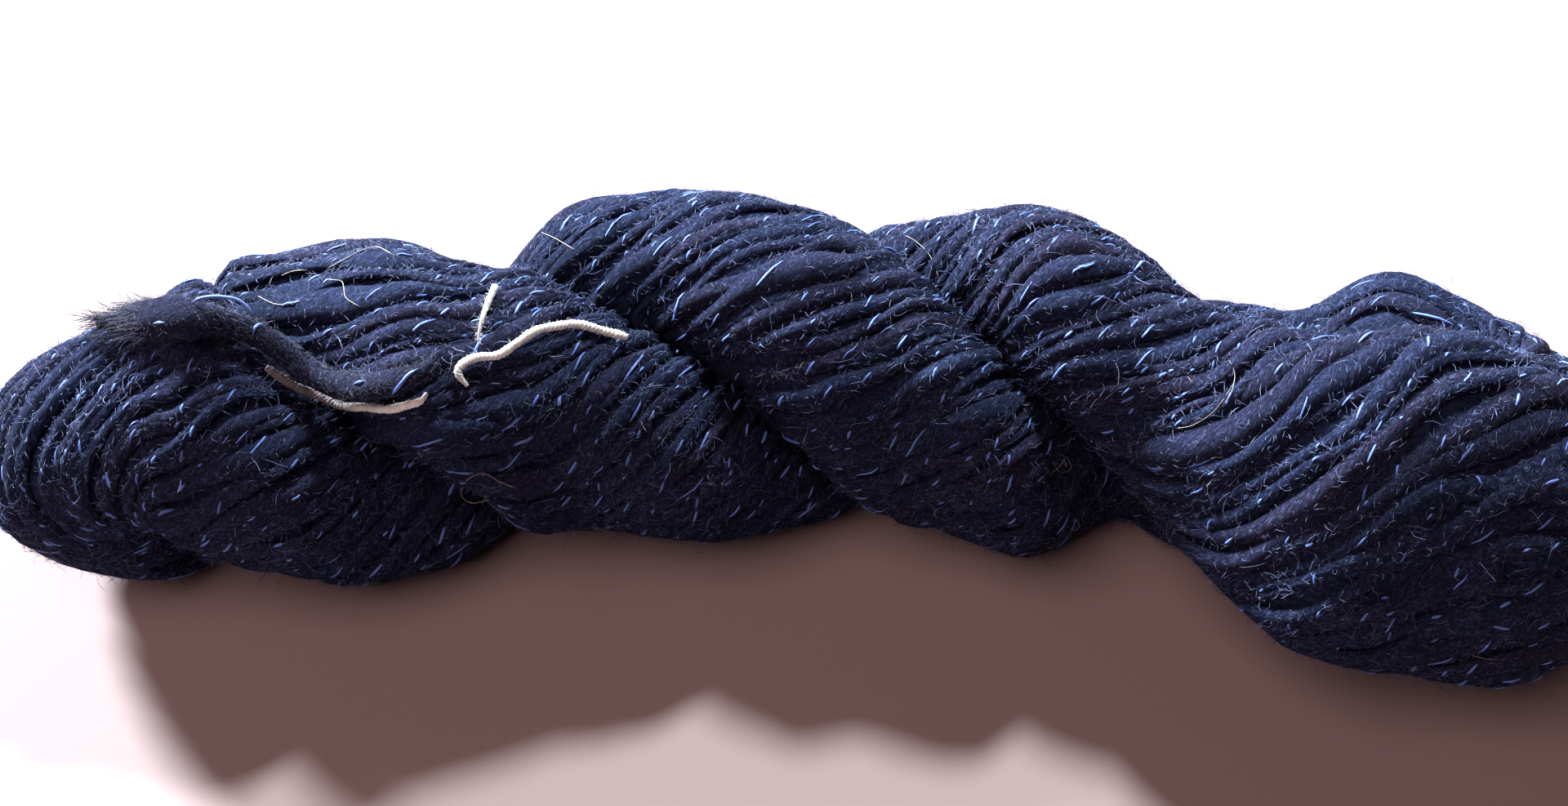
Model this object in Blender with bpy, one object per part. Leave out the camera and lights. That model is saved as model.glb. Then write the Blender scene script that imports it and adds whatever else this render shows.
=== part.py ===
"""A skein of thick-and-thin wool yarn: a hank twisted, folded on itself and left lying on a table.

The wound yarn is one solid of two plies twisted round each other. Its left end is the fold where the
second ply turns round and becomes the first; its right end is the fatter loop where they meet again. A
cotton string ties the neck of one ply, and the yarn's own thick end lies loose along the top of the left
end. The skein lies along X, with the floor at Z = 0.

Tables are in millimetres and degrees, because that is how the skein was measured; MM turns them into
metres where points are made.
"""

import math

import bmesh
import bpy
from mathutils import Vector

MM = 0.001

# The wound yarn, section by section along its length. The middle line lies at (x, y, lift). turn is the
# direction from it to the first ply's centre, from +Y towards +Z, and the second ply lies opposite.
# reach is how far away both centres are. deep and wide are a ply's half sizes, along that direction and
# across it.
COLUMNS = ("x", "y", "lift", "turn", "reach", "deep", "wide")
SECTIONS = (
    (-195, -2.5, 29.5, -86, 12.5, 19.0, 29.0),
    (-167, -2.0, 31.0, -86, 12.0, 20.0, 26.0),
    (-145, 3.0, 30.0, -80, 13.5, 18.5, 28.0),
    (-136, 9.0, 32.5, -47, 15.5, 21.5, 31.5),
    (-127, 8.5, 32.5, -22, 15.0, 23.0, 30.0),
    (-105, 8.0, 33.0, 37, 16.5, 23.5, 26.0),
    (-72, 10.0, 36.0, 112, 17.0, 22.0, 29.0),
    (-55, 20.5, 33.0, 165, 16.5, 22.5, 31.0),
    (-28, 20.5, 34.5, 205, 16.5, 24.5, 27.5),
    (5, 21.0, 32.0, 280, 13.0, 25.5, 31.0),
    (22, 19.0, 34.0, 333, 12.0, 22.0, 31.0),
    (48, 16.0, 35.0, 393, 16.5, 24.0, 29.5),
    (74, 15.0, 34.0, 469, 16.0, 22.0, 27.5),
    (92, 0.0, 34.5, 492, 14.5, 23.5, 30.5),
    (104, -9.0, 35.0, 494, 17.5, 24.0, 35.0),
    (116, -13.0, 36.0, 497, 20.5, 24.0, 36.0),
    (134, -11.0, 37.0, 506, 20.0, 25.0, 40.0),
    (152, -16.0, 35.5, 503, 18.0, 24.0, 38.5),
    (200, -17.0, 26.0, 508, 19.0, 21.0, 24.0),
)
NOSE_LEFT, NOSE_RIGHT = -191.0, 191.0  # the two ends' outermost points
FOLD_LEFT, FOLD_RIGHT = -141.0, 147.0  # where the plies begin to turn round
TIED_AT, TIED_WIDTH, TIED_SHARE = -73.0, 11.0, 0.14  # the string draws the first ply in here
SETTLED = 3.0  # the height over which the underside eases into its flat resting places

RING_POINTS = 44  # round the skein, with one on each crease between the plies
RING_GAP = 4.8  # between the rings along the straight part
LEFT_RINGS = (12, 24, 36, 48, 60, 70, 80, 86)  # degrees round the folded end
RIGHT_RINGS = (9, 18, 27, 36, 45, 54, 63, 72, 80, 86)  # degrees round the looped end
EDGE_HALVINGS = 40  # of the search for the skein's edge
FARTHEST = 150.0  # beyond any edge, in millimetres

# Each cord's diameter and the points of its middle line, from where it leaves the wound yarn.
CORDS = {
    "loose_end": (
        6.0,
        "wool",
        (
            (-80.5, -7.0, 72.5),
            (-84.0, -9.0, 72.0),
            (-88.5, -10.0, 70.5),
            (-96.0, -8.5, 65.5),
            (-104.5, -4.5, 61.5),
            (-111.5, 0.0, 61.5),
            (-117.5, 3.5, 65.0),
            (-123.0, 5.0, 68.5),
            (-129.0, 4.5, 72.5),
            (-136.0, 4.0, 74.0),
            (-144.5, 8.0, 69.0),
            (-152.5, 11.0, 64.0),
            (-158.5, 11.5, 62.5),
        ),
    ),
    "tie_end_right": (
        2.0,
        "cotton",
        (
            (-74.0, -8.5, 66.5),
            (-76.0, -6.5, 68.5),
            (-75.0, -4.5, 69.5),
            (-72.0, -2.5, 69.0),
            (-67.5, -1.5, 68.5),
            (-63.5, 1.0, 69.5),
            (-59.5, 4.0, 70.0),
            (-54.5, 6.5, 68.5),
            (-50.5, 8.0, 67.0),
            (-45.5, 8.5, 64.0),
            (-40.0, 8.5, 61.5),
        ),
    ),
    "tie_end_left": (
        2.0,
        "cotton",
        (
            (-82.5, -11.0, 67.5),
            (-84.0, -12.5, 66.5),
            (-87.0, -12.5, 65.0),
            (-91.5, -11.5, 62.0),
            (-97.0, -8.5, 58.5),
            (-102.5, -5.5, 54.5),
            (-106.0, -3.5, 53.5),
            (-110.0, -2.0, 54.5),
            (-114.5, -2.5, 59.0),
            (-119.5, -0.5, 62.5),
        ),
    ),
    "tie_band": (
        2.0,
        "cotton",
        (
            (-69.0, 15.5, 71.0),
            (-70.5, 10.5, 71.0),
            (-71.5, 5.5, 71.0),
            (-72.0, 1.0, 70.0),
        ),
    ),
}
CORD_STEPS = 2  # points of the tube for each point of its route

YARN_COLOUR = (0.016, 0.018, 0.034, 1)
COTTON_COLOUR = (0.78, 0.73, 0.66, 1)


def slopes_of(places, values):
    """The slope at each row of a smooth curve through the rows, level with its two neighbours."""
    last = len(places) - 1
    slopes = []
    for i in range(last + 1):
        before, after = max(i - 1, 0), min(i + 1, last)
        if before == i or after == i:
            slopes.append((values[after] - values[before]) / (places[after] - places[before]))
            continue
        step_in, step_out = places[i] - places[before], places[after] - places[i]
        rise_in, rise_out = values[i] - values[before], values[after] - values[i]
        slopes.append(
            (rise_in / step_in * step_out + rise_out / step_out * step_in) / (step_in + step_out)
        )
    return slopes


PLACES = [row[0] for row in SECTIONS]
CURVES = {name: [row[k] for row in SECTIONS] for k, name in enumerate(COLUMNS)}
SLOPES = {name: slopes_of(PLACES, values) for name, values in CURVES.items()}


def section(x):
    """The table's values at any x, read from a smooth curve through its rows."""
    i = max(k for k in range(len(PLACES) - 1) if PLACES[k] <= x or k == 0)
    step = PLACES[i + 1] - PLACES[i]
    t = (x - PLACES[i]) / step
    found = {}
    for name, values in CURVES.items():
        slope = SLOPES[name]
        found[name] = (
            (1 + 2 * t) * (1 - t) ** 2 * values[i]
            + t * (1 - t) ** 2 * step * slope[i]
            + t * t * (3 - 2 * t) * values[i + 1]
            + t * t * (t - 1) * step * slope[i + 1]
        )
    return found


LEFT_END, RIGHT_END = section(NOSE_LEFT), section(NOSE_RIGHT)
STRETCH_LEFT = (FOLD_LEFT - NOSE_LEFT) / (LEFT_END["reach"] + LEFT_END["deep"])
STRETCH_RIGHT = (NOSE_RIGHT - FOLD_RIGHT) / (RIGHT_END["reach"] + RIGHT_END["deep"])


def edge(x, angle):
    """How far the skein's edge lies from the middle line, at an angle from the first ply's direction.

    Each ply is an ellipse beside the middle line, and the edge is the outer one. Past the folds the plies
    turn round, so that a point's distance from the turn's centre takes the place of its distance from the
    middle line. Lengthways that distance is shortened by the end's stretch, so that it reaches its nose.
    """
    s = section(x)
    past = max(0.0, (FOLD_LEFT - x) / STRETCH_LEFT, (x - FOLD_RIGHT) / STRETCH_RIGHT)
    inner, outer = 0.0, FARTHEST
    for _ in range(EDGE_HALVINGS):
        r = (inner + outer) / 2
        along = (math.hypot(r * math.cos(angle), past) - s["reach"]) / s["deep"]
        across = r * math.sin(angle) / s["wide"]
        if along * along + across * across > 1:
            outer = r
        else:
            inner = r
    drawn_in = TIED_SHARE * math.exp(-(((x - TIED_AT) / TIED_WIDTH) ** 2))
    return inner * (1 - drawn_in * math.sqrt(max(0.0, math.cos(angle))))


def settled(z):
    """The height of a point once its weight has pressed the underside flat on the floor."""
    if z > SETTLED:
        return z
    return max(0.0, z + SETTLED) ** 2 / (4 * SETTLED)


def ring(x):
    """The skein's section at x as a ring of points."""
    s = section(x)
    points = []
    for k in range(RING_POINTS):
        angle = 2 * math.pi * k / RING_POINTS
        r = edge(x, angle)
        way = math.radians(s["turn"]) + angle
        points.append(
            Vector((x, s["y"] + r * math.cos(way), settled(s["lift"] + r * math.sin(way)))) * MM
        )
    return points


def stations():
    """Where the rings lie along the length, closer together round the two ends."""
    left = [FOLD_LEFT - (FOLD_LEFT - NOSE_LEFT) * math.sin(math.radians(a)) for a in LEFT_RINGS]
    right = [FOLD_RIGHT + (NOSE_RIGHT - FOLD_RIGHT) * math.sin(math.radians(a)) for a in RIGHT_RINGS]
    gaps = round((FOLD_RIGHT - FOLD_LEFT) / RING_GAP)
    straight = [FOLD_LEFT + (FOLD_RIGHT - FOLD_LEFT) * k / gaps for k in range(gaps + 1)]
    return left[::-1] + straight + right


def nose(x):
    s = section(x)
    return Vector((x, s["y"], s["lift"])) * MM


def material(name, colour, roughness):
    made = bpy.data.materials.new(name)
    made.use_nodes = True
    shader = made.node_tree.nodes["Principled BSDF"]
    shader.inputs["Base Color"].default_value = colour
    shader.inputs["Roughness"].default_value = roughness
    shader.inputs["Metallic"].default_value = 0.0
    made.diffuse_color = colour
    return made


def wound_yarn(collection, finish):
    """The loft through the rings, closed with a fan at each end."""
    shape = bmesh.new()
    rings = [[shape.verts.new(p) for p in ring(x)] for x in stations()]
    for a, b in zip(rings, rings[1:]):
        for k in range(RING_POINTS):
            after = (k + 1) % RING_POINTS
            shape.faces.new((a[k], a[after], b[after], b[k]))
    for end, x in ((rings[0], NOSE_LEFT), (rings[-1], NOSE_RIGHT)):
        tip = shape.verts.new(nose(x))
        for k in range(RING_POINTS):
            shape.faces.new((end[k], end[(k + 1) % RING_POINTS], tip))
    bmesh.ops.triangulate(shape, faces=shape.faces[:], quad_method="SHORT_EDGE")
    bmesh.ops.recalc_face_normals(shape, faces=shape.faces[:])
    mesh = bpy.data.meshes.new("skein")
    shape.to_mesh(mesh)
    shape.free()
    mesh.shade_smooth()
    mesh.materials.append(finish)
    collection.objects.link(bpy.data.objects.new("skein", mesh))


def route_curve(points):
    """Points along a smooth curve through a route's own points."""
    before = [2 * points[0] - points[1]] + points
    after = points[1:] + [2 * points[-1] - points[-2]]
    smooth = []
    for i in range(len(points) - 1):
        p, q, r, s = before[i], points[i], points[i + 1], after[i + 1]
        for k in range(CORD_STEPS):
            t = k / CORD_STEPS
            smooth.append(
                q
                + (r - p) * (t / 2)
                + (2 * p - 5 * q + 4 * r - s) * (t * t / 2)
                + (3 * q - p - 3 * r + s) * (t * t * t / 2)
            )
    return smooth + [points[-1]]


def cord(collection, name, diameter, points, finish):
    """A round tube along a route, closed at both ends."""
    route = route_curve([Vector(p) * MM for p in points])
    line = bpy.data.curves.new(name, "CURVE")
    line.dimensions = "3D"
    line.bevel_depth = diameter / 2 * MM
    line.bevel_resolution = 2
    line.use_fill_caps = True
    spline = line.splines.new("POLY")
    spline.points.add(len(route) - 1)
    for point, place in zip(spline.points, route):
        point.co = (*place, 1)
    line.materials.append(finish)
    collection.objects.link(bpy.data.objects.new(name, line))


def main():
    for left_over in list(bpy.data.objects):
        bpy.data.objects.remove(left_over)
    collection = bpy.data.collections.new("yarn_skein")
    bpy.context.scene.collection.children.link(collection)
    finishes = {
        "wool": material("wool", YARN_COLOUR, 0.95),
        "cotton": material("cotton", COTTON_COLOUR, 0.85),
    }
    wound_yarn(collection, finishes["wool"])
    for name, (diameter, finish, points) in CORDS.items():
        cord(collection, name, diameter, points, finishes[finish])


main()
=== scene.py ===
"""The skein of yarn, dressed for its picture.

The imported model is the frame: one solid of the wound yarn, and the solids of the loose end and the tie.
Here the wound yarn becomes what it is, one long thick-and-thin strand that goes round the twisted and
folded hank again and again, with a thin shiny thread wound round it and a halo of fine fibres.

Lengths are in millimetres and turned into metres where meshes are made. Angles are in radians, except in
a table, which gives degrees.
"""

import math

import bpy
import numpy as np
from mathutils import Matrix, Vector
from mathutils.bvhtree import BVHTree


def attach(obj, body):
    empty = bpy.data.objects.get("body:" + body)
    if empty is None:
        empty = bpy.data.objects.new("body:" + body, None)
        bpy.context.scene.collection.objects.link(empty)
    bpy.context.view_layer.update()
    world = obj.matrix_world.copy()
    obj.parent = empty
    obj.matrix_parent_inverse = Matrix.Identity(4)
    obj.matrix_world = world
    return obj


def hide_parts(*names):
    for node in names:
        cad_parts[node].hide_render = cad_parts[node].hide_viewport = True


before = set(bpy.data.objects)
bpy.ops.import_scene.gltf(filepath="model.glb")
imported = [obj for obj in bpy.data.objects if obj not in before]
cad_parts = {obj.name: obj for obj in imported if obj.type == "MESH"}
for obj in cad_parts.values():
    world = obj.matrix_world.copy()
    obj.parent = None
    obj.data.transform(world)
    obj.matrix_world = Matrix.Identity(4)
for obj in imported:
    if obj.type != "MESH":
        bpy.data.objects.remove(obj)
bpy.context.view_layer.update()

MM = 0.001
ROOT = "root"
ABOVE_TABLE = 0.02  # the least height of anything, so that nothing goes through the table
rng = np.random.default_rng(37)


# ---------------------------------------------------------------- the picture

PICTURE_WIDTH, PICTURE_HEIGHT = 1920, 987
PIXELS_EACH_MM = 5.3  # at the middle of the skein
CAMERA_TARGET = np.array((-5.0, 8.4, 36.0))
CAMERA_DISTANCE = 620.0
CAMERA_ELEVATION = math.radians(55.0)
SENSOR_WIDTH = 36.0
FOCAL_PIXELS = PIXELS_EACH_MM * CAMERA_DISTANCE

TO_CAMERA = np.array((0.0, -math.cos(CAMERA_ELEVATION), math.sin(CAMERA_ELEVATION)))
EYE = CAMERA_TARGET + CAMERA_DISTANCE * TO_CAMERA
IMAGE_RIGHT = np.array((1.0, 0.0, 0.0))
IMAGE_UP = np.cross(IMAGE_RIGHT, -TO_CAMERA)


def make_camera():
    """A camera at the photograph's viewing angle, above the near side of the skein."""
    lens = bpy.data.cameras.new("camera")
    lens.sensor_fit = "HORIZONTAL"
    lens.sensor_width = SENSOR_WIDTH
    lens.lens = FOCAL_PIXELS / PICTURE_WIDTH * SENSOR_WIDTH
    lens.clip_start, lens.clip_end = 0.01, 10
    camera = bpy.data.objects.new("camera", lens)
    camera.location = Vector(EYE) * MM
    camera.rotation_euler = Vector(-TO_CAMERA).to_track_quat("-Z", "Y").to_euler()
    bpy.context.scene.collection.objects.link(camera)
    bpy.context.scene.camera = camera


def pixels_of(points):
    """Where points show in the picture, and how far in front of the camera they are."""
    from_eye = points - EYE
    depth = from_eye @ -TO_CAMERA
    across = PICTURE_WIDTH / 2 + FOCAL_PIXELS * (from_eye @ IMAGE_RIGHT) / depth
    down = PICTURE_HEIGHT / 2 - FOCAL_PIXELS * (from_eye @ IMAGE_UP) / depth
    return across, down, depth


def ray_through(pixel):
    """The direction from the camera through a pixel of the picture."""
    across = (pixel[0] - PICTURE_WIDTH / 2) / FOCAL_PIXELS
    down = (pixel[1] - PICTURE_HEIGHT / 2) / FOCAL_PIXELS
    return -TO_CAMERA + across * IMAGE_RIGHT - down * IMAGE_UP


# ---------------------------------------------------------------- shader helpers


class Value:
    """A socket of a recipe that Python's operators work on."""

    def __init__(self, recipe, socket):
        self.recipe, self.socket = recipe, socket

    def maths(self, operation, first, second):
        return self.recipe.node("ShaderNodeMath", {"operation": operation}, input_0=first, input_1=second)

    def __add__(self, other):
        return self.maths("ADD", self, other)

    def __sub__(self, other):
        return self.maths("SUBTRACT", self, other)

    def __rsub__(self, other):
        return self.maths("SUBTRACT", other, self)

    def __mul__(self, other):
        return self.maths("MULTIPLY", self, other)

    __radd__, __rmul__ = __add__, __mul__


class Recipe:
    """A material's nodes. It starts with a plain shader, whose constant values it sets."""

    def __init__(self, name, **constants):
        self.material = bpy.data.materials.new(name)
        self.material.use_nodes = True
        self.nodes = self.material.node_tree.nodes
        self.links = self.material.node_tree.links
        self.shader = self.nodes["Principled BSDF"]
        for socket, value in constants.items():
            self.set(self.shader.inputs[socket.replace("_", " ")], value)

    def set(self, socket, value):
        if isinstance(value, Value):
            self.links.new(value.socket, socket)
        else:
            socket.default_value = value

    def node(self, kind, settings, output=0, **inputs):
        """A node of a kind, with its settings made first and then the values or links of its sockets.

        A socket is named, with spaces as underscores, or counted as input_0, input_1 and so on.
        """
        made = self.nodes.new(kind)
        for name, value in settings.items():
            if name == "stops":
                self.set_stops(made.color_ramp, value)
            else:
                setattr(made, name, value)
        for name, value in inputs.items():
            if name.startswith("input_"):
                self.set(made.inputs[int(name[6:])], value)
            else:
                self.set(made.inputs[name.replace("_", " ")], value)
        return Value(self, made.outputs[output])

    def set_stops(self, ramp, stops):
        while len(ramp.elements) < len(stops):
            ramp.elements.new(0.5)
        for element, (place, colour) in zip(ramp.elements, stops):
            element.position = place
            element.color = colour

    def attribute(self, name, output):
        return self.node("ShaderNodeAttribute", {"attribute_name": name}, output)

    def noise(self, place, scale, detail, roughness=0.5):
        return self.node(
            "ShaderNodeTexNoise", {}, 0, Vector=place, Scale=scale, Detail=detail, Roughness=roughness
        )

    def stretched(self, place, amounts):
        return self.node(
            "ShaderNodeVectorMath", {"operation": "MULTIPLY"}, 0, input_0=place, input_1=amounts
        )

    def mix(self, share, first, second):
        """A colour between two colours."""
        return self.node(
            "ShaderNodeMix", {"data_type": "RGBA"}, 2, input_0=share, input_6=first, input_7=second
        )

    def limited(self, value, low, high, to_low=0.0, to_high=1.0):
        """A value's place between low and high, as a value between to_low and to_high."""
        return self.node(
            "ShaderNodeMapRange",
            {"clamp": True},
            0,
            input_0=value,
            input_1=low,
            input_2=high,
            input_3=to_low,
            input_4=to_high,
        )

    def colour(self, value):
        self.set(self.shader.inputs["Base Color"], value)

    def rough(self, value):
        self.set(self.shader.inputs["Roughness"], value)

    def bump(self, height, strength, distance):
        made = self.node(
            "ShaderNodeBump", {}, 0, Height=height, Strength=strength, Distance=distance
        )
        self.set(self.shader.inputs["Normal"], made)


# ---------------------------------------------------------------- materials

# The dyed wool is navy with stretches of plum. It looks dusty where its fibres stand up, and deep between
# them.
# Near the seam between the plies the wool is painted darker and less dusty: painted shade in the crease.
NAVY_DEEP = (0.004, 0.006, 0.016, 1)
NAVY = (0.015, 0.021, 0.058, 1)
NAVY_DUSTY = (0.082, 0.104, 0.234, 1)
PLUM = (0.027, 0.019, 0.045, 1)
PLUM_DUSTY = (0.092, 0.094, 0.202, 1)
GREY_DUSTY = (0.050, 0.049, 0.076, 1)  # on the loose end, whose open fibres look grey
CORE_DUSTY = (0.020, 0.026, 0.062, 1)

THREAD_DARK = (0.045, 0.080, 0.28, 1)
THREAD_LIGHT = (0.085, 0.145, 0.42, 1)
# A painted highlight, laid along random filaments of the thread.
THREAD_PAINTED_HIGHLIGHT = (0.15, 0.24, 0.58, 1)

COTTON_HOLLOW = (0.60, 0.55, 0.52, 1)
COTTON_WHITE = (0.90, 0.87, 0.83, 1)
COTTON_SHADED = (0.095, 0.070, 0.085, 1)  # painted shade: where the tie goes into the wool, and over the left end's far half

HAIR_DARK, HAIR_LIGHT = (0.12, 0.10, 0.08, 1), (0.32, 0.27, 0.21, 1)
TABLE_DARK, TABLE_LIGHT = (0.305, 0.222, 0.217, 1), (0.325, 0.240, 0.234, 1)


def wool_finish(name, dust, plum_dust):
    """Soft navy wool: long fibres that lie round the strand, dusty where they stand up.

    The lay runs along the fibres in millimetres, so each stretch below is in spots a millimetre.
    """
    wool = Recipe(
        name,
        Roughness=1.0,
        Specular_IOR_Level=0.06,
        Sheen_Weight=0.05,
        Sheen_Roughness=0.30,
        Sheen_Tint=(0.30, 0.40, 0.90, 1),
    )
    lay = wool.attribute("lay", "Vector")
    tone = wool.attribute("tone", "Fac")
    pressed = wool.attribute("pressed", "Fac")
    fibres = wool.noise(wool.stretched(lay, (0.55, 2.0, 2.0)), 1.0, 5, 0.80)
    nap = wool.noise(wool.stretched(lay, (1.5, 1.7, 1.7)), 1.0, 5, 0.80)
    clumps = wool.noise(wool.stretched(lay, (0.10, 0.5, 0.5)), 1.0, 2)
    dusty = wool.limited(fibres * 0.45 + nap * 0.45 + clumps * 0.1, 0.50, 0.62)
    strand_colour = wool.mix(tone, NAVY, PLUM)
    shaded = wool.mix(wool.limited(nap, 0.36, 0.54), NAVY_DEEP, strand_colour)
    # Painted shade in the crease: towards the seam between the plies the colour goes to the darkest navy and
    # loses its dust.
    shaded = wool.mix(pressed * 0.8, shaded, NAVY_DEEP)
    dust_colour = wool.mix(tone, dust, plum_dust)
    wool.colour(wool.mix(dusty * (1 - pressed * 0.85), shaded, dust_colour))
    wool.bump(fibres * 0.6 + nap * 1.3 + clumps * 0.4, 1.0, 0.0030)
    return wool.material


def core_finish():
    """The inner strands, which hardly show."""
    core = Recipe("wool_inside", Roughness=1.0, Specular_IOR_Level=0.02)
    place = core.node("ShaderNodeTexCoord", {}, "Object")
    grain = core.noise(place, 900.0, 3)
    core.colour(core.mix(core.limited(grain, 0.3, 0.7), NAVY_DEEP, CORE_DUSTY))
    core.bump(grain, 0.5, 0.0005)
    return core.material


# The fuzz's colours, from its darkest fibres to the few pale ones: share of the fibres, colour.
FUZZ_TONES = (
    (0.0, (0.030, 0.040, 0.100, 1)),
    (0.50, (0.085, 0.104, 0.215, 1)),
    (0.90, (0.160, 0.180, 0.310, 1)),
    (0.992, (0.175, 0.168, 0.200, 1)),
    (1.0, (0.310, 0.250, 0.200, 1)),
)
END_FUZZ_TONES = (
    (0.0, (0.016, 0.016, 0.034, 1)),
    (0.90, (0.052, 0.051, 0.090, 1)),
    (1.0, (0.100, 0.092, 0.115, 1)),
)


def fuzz_finish(name, tones):
    """The fine fibres that stand off the wool."""
    fuzz = Recipe(name, Roughness=0.75, Specular_IOR_Level=0.25)
    tone = fuzz.attribute("tone", "Fac")
    fuzz.colour(fuzz.node("ShaderNodeValToRGB", {"stops": tones}, 0, Fac=tone))
    return fuzz.material


def thread_finish():
    """The light-blue thread: many fine shiny filaments with hardly any twist."""
    thread = Recipe("thread", Roughness=0.45, Specular_IOR_Level=0.2)
    lay = thread.attribute("lay", "Vector")
    tone = thread.attribute("tone", "Fac")
    filaments = thread.noise(thread.stretched(lay, (0.5, 9.0, 9.0)), 1.0, 3)
    blue = thread.mix(tone, THREAD_DARK, THREAD_LIGHT)
    # Painted highlight: random filament streaks are coloured lighter, as glints.
    thread.colour(thread.mix(thread.limited(filaments, 0.35, 0.70), blue, THREAD_PAINTED_HIGHLIGHT))
    thread.rough(thread.limited(filaments, 0.3, 0.7, 0.34, 0.52))
    thread.bump(filaments, 0.5, 0.0002)
    return thread.material


def cotton_finish():
    """The tie's soft white cotton, spun with a gentle twist."""
    cotton = Recipe(
        "cotton",
        Roughness=0.85,
        Specular_IOR_Level=0.25,
        Sheen_Weight=0.25,
        Sheen_Tint=(1, 0.97, 0.92, 1),
    )
    lay = cotton.attribute("lay", "Vector")
    tone = cotton.attribute("tone", "Fac")
    fibres = cotton.noise(cotton.stretched(lay, (0.5, 4.0, 4.0)), 1.0, 4)
    lit_cotton = cotton.mix(cotton.limited(fibres, 0.35, 0.62), COTTON_HOLLOW, COTTON_WHITE)
    # The tone paints shade on the cotton: where the tie goes into the wool, and over the left end's far
    # half.
    cotton.colour(cotton.mix(tone, lit_cotton, COTTON_SHADED))
    cotton.bump(fibres, 0.8, 0.0005)
    return cotton.material


def hair_finish():
    """Pale guard hairs caught in the wool."""
    hair = Recipe("pale_hair", Roughness=0.5, Specular_IOR_Level=0.4)
    tone = hair.attribute("tone", "Fac")
    hair.colour(hair.mix(tone, HAIR_DARK, HAIR_LIGHT))
    return hair.material


def floor_finish():
    """A pale matte table, hardly uneven."""
    table = Recipe("table", Roughness=0.9, Specular_IOR_Level=0.15)
    place = table.node("ShaderNodeTexCoord", {}, "Object")
    mottle = table.noise(place, 6.0, 2)
    table.colour(table.mix(mottle, TABLE_DARK, TABLE_LIGHT))
    return table.material


# ---------------------------------------------------------------- meshes


def new_piece(name, points, faces, finish, lay=None, tone=None, pressed=None):
    """A mesh piece from points in millimetres and lists of faces, each list with one count of corners."""
    mesh = bpy.data.meshes.new(name)
    faces = [np.asarray(f, np.int32) for f in faces if len(f)]
    corners = np.concatenate([f.ravel() for f in faces])
    counts = np.concatenate([np.full(len(f), f.shape[1]) for f in faces])
    starts = np.concatenate(([0], np.cumsum(counts)[:-1]))
    mesh.vertices.add(len(points))
    mesh.vertices.foreach_set("co", (np.asarray(points) * MM).astype(np.float32).ravel())
    mesh.loops.add(len(corners))
    mesh.loops.foreach_set("vertex_index", corners)
    mesh.polygons.add(len(counts))
    mesh.polygons.foreach_set("loop_start", starts.astype(np.int32))
    mesh.update(calc_edges=True)
    mesh.validate()
    mesh.shade_smooth()
    if lay is not None:
        made = mesh.attributes.new("lay", "FLOAT_VECTOR", "POINT")
        made.data.foreach_set("vector", np.asarray(lay, np.float32).ravel())
    for attribute, values in (("tone", tone), ("pressed", pressed)):
        if values is not None:
            made = mesh.attributes.new(attribute, "FLOAT", "POINT")
            made.data.foreach_set("value", np.asarray(values, np.float32).ravel())
    mesh.materials.append(finish)
    piece = bpy.data.objects.new(name, mesh)
    bpy.context.scene.collection.objects.link(piece)
    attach(piece, ROOT)
    return piece


def unit(vectors):
    return vectors / np.maximum(np.linalg.norm(vectors, axis=-1, keepdims=True), 1e-9)


def tube_faces(rings, sides, joined):
    """Faces of tubes whose points lie ring after ring. joined says of each ring that the next one is on
    the same tube; the rings at a tube's two ends are closed flat."""
    ring = np.nonzero(joined)[0]
    after = (ring + 1) % rings
    k = np.arange(sides)
    k_after = (k + 1) % sides
    walls = np.stack(
        [
            ring[:, None] * sides + k,
            ring[:, None] * sides + k_after,
            after[:, None] * sides + k_after,
            after[:, None] * sides + k,
        ],
        -1,
    ).reshape(-1, 4)
    entered = np.roll(joined, 1)
    first = np.nonzero(joined & ~entered)[0]
    last = np.nonzero(~joined & entered)[0]
    fan = np.arange(1, sides - 1)
    starts = np.stack(
        [first[:, None] * sides + 0 * fan, first[:, None] * sides + fan + 1, first[:, None] * sides + fan],
        -1,
    ).reshape(-1, 3)
    ends = np.stack(
        [last[:, None] * sides + 0 * fan, last[:, None] * sides + fan, last[:, None] * sides + fan + 1],
        -1,
    ).reshape(-1, 3)
    return walls, np.concatenate([starts, ends])


def wave(knots, places):
    """A smooth closed curve through evenly spaced knots, read at places counted in knots."""
    count = len(knots)
    whole = np.floor(places).astype(int)
    t = places - whole
    p, q, r, s = (knots[(whole + k) % count] for k in (-1, 0, 1, 2))
    return q + 0.5 * t * (r - p + t * (2 * p - 5 * q + 4 * r - s + t * (3 * q - p - 3 * r + s)))


# ---------------------------------------------------------------- the hank's form

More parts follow.
